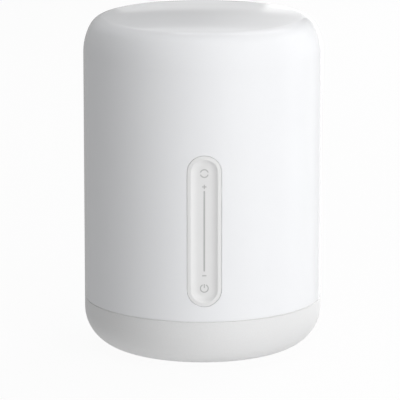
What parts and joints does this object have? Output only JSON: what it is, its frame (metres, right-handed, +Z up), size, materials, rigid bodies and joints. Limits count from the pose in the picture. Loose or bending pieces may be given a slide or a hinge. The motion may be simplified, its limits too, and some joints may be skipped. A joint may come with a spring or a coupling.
{
  "type": "smart bedside lamp",
  "caption": "Round bedside lamp: opal diffuser shell over a light grey base, with a recessed touch panel on the front and a low-voltage power inlet at the back.",
  "frame": {"origin": "bottom centre, where the lamp's axis meets the surface it stands on", "axes": "+Z up along the lamp's axis, -Y is the front with the touch panel, +X to the right as seen from the front"},
  "size_m": [0.14, 0.14, 0.2],
  "materials": {
    "opal_shell": "glossy opal white, lets light through",
    "base_shell": "fine satin, warm light grey",
    "touch_panel": "fine satin, light grey",
    "panel_marks": "satin grey inlay",
    "seam_seal": "matt light grey silicone",
    "foot_rubber": "matt grey silicone",
    "inner_plastic": "white, light-proof",
    "dark_plastic": "black",
    "steel": "bright zinc plated",
    "aluminium": "bead blasted",
    "board": "green solder mask",
    "white_board": "white solder mask",
    "led": "yellow phosphor in a white package",
    "flex": "amber polyimide",
    "film": "clear sensor film",
    "adhesive": "black foam tape",
    "thermal": "grey-blue gap pad",
    "reflector_white": "white reflective"
  },
  "bodies": {
    "root": {"diffuser_shell": "opal_shell", "seam_gasket": "seam_seal", "base_shell": "base_shell", "bottom_cover": "base_shell", "foot_ring": "foot_rubber", "base_screws": "steel", "chassis": "inner_plastic", "control_panel": "touch_panel", "panel_adhesive_seal": "adhesive", "mode_icon": "panel_marks", "plus_mark": "panel_marks", "slider_line": "panel_marks", "minus_mark": "panel_marks", "power_icon": "panel_marks", "touch_film": "film", "touch_board": "board", "indicator_leds": "led", "touch_controller": "dark_plastic", "touch_board_connector": "inner_plastic", "panel_rear_cover": "inner_plastic", "panel_screws": "steel", "panel_flex_cable": "flex", "heat_sink": "aluminium", "heat_sink_screws": "steel", "thermal_pad": "thermal", "led_board": "white_board", "white_leds": "led", "colour_leds": "led", "reflector": "reflector_white", "led_board_screws": "steel", "led_board_connector": "inner_plastic", "led_cable": "dark_plastic", "main_board": "board", "main_board_screws": "steel", "wifi_module_board": "board", "wifi_module_shield": "steel", "power_inductor": "dark_plastic", "capacitors": "aluminium", "led_driver_transistors": "dark_plastic", "main_board_chips": "dark_plastic", "main_board_ffc_connector": "inner_plastic", "main_board_led_connector": "inner_plastic", "dc_jack_housing": "dark_plastic", "dc_jack_pin": "steel", "dc_jack_contact": "steel"}
  },
  "joints": []
}
